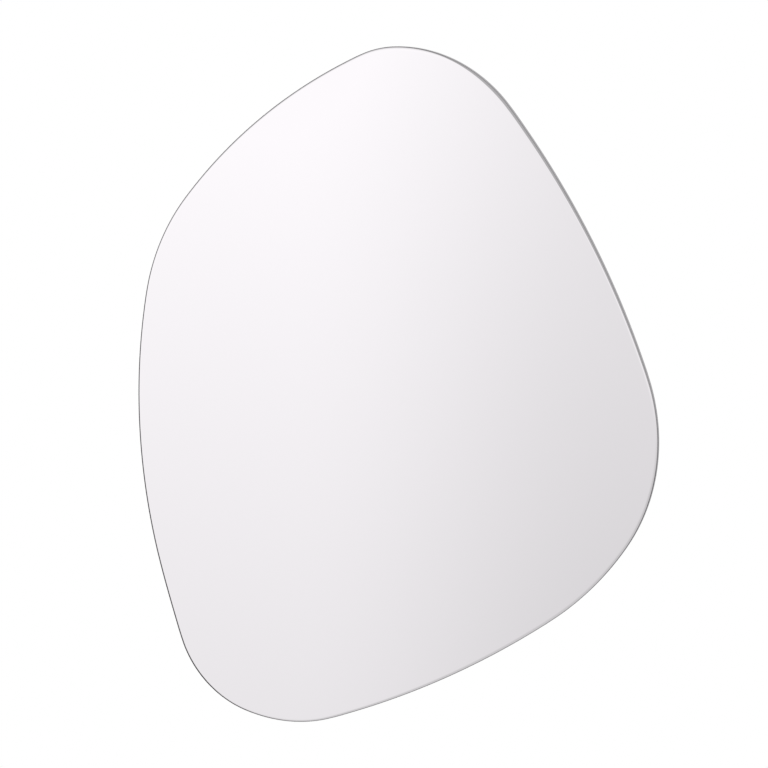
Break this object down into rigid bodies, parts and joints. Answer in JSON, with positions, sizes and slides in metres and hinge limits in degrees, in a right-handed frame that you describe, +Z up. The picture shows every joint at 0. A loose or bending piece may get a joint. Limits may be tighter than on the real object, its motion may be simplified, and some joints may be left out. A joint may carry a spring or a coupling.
{
  "type": "wall mirror",
  "caption": "Frameless pebble-shaped wall mirror with a polished edge; it hangs from D-rings on a hidden backing board with rubber bumpers.",
  "frame": {"origin": "on the wall plane, midway between the two points where the wall's hooks carry the rings", "axes": "+X to the right as one faces the mirror, +Y from the viewer into the wall, +Z up"},
  "size_m": [0.554, 0.0223, 0.6999],
  "materials": {
    "pane_glass": "clear float glass, polished flat edge with a fine arris",
    "silver": "bright silvering seen through the pane",
    "back_coat": "satin grey protective paint",
    "board": "raw medium-density fibreboard, sanded faces, sawn edge",
    "foam_tape": "white closed-cell foam",
    "mirror_adhesive": "cured sealant",
    "strap_steel": "bright zinc plate",
    "ring_steel": "nickel plate",
    "screw_steel": "zinc plate",
    "bumper_rubber": "black moulded rubber",
    "pad_adhesive": "clear acrylic adhesive"
  },
  "bodies": {
    "mirror": {"glass_pane": "pane_glass", "silver_layer": "silver", "backing_paint": "back_coat", "backing_board": "board", "bumper_adhesive_pads": "pad_adhesive", "foam_tape_1": "foam_tape", "foam_tape_2": "foam_tape", "foam_tape_3": "foam_tape", "foam_tape_4": "foam_tape", "adhesive_ribbon_1": "mirror_adhesive", "adhesive_ribbon_2": "mirror_adhesive", "adhesive_ribbon_3": "mirror_adhesive", "rubber_bumper_upper_right": "bumper_rubber", "rubber_bumper_upper_left": "bumper_rubber", "rubber_bumper_lower_left": "bumper_rubber", "rubber_bumper_lower_right": "bumper_rubber", "hanger_strap_left": "strap_steel", "hanger_screws_left": "screw_steel", "hanger_strap_right": "strap_steel", "hanger_screws_right": "screw_steel"},
    "left_ring": {"hanger_ring_left": "ring_steel"},
    "right_ring": {"hanger_ring_right": "ring_steel"}
  },
  "joints": [
    {"name": "left_ring_swing", "type": "hinge", "parent": "mirror", "child": "left_ring", "pos_m": [-0.15, -0.0037, -0.01407], "axis": [-1, 0, 0], "range_deg": [0, 175]},
    {"name": "right_ring_swing", "type": "hinge", "parent": "mirror", "child": "right_ring", "pos_m": [0.15, -0.0037, -0.01407], "axis": [-1, 0, 0], "range_deg": [0, 175]}
  ]
}
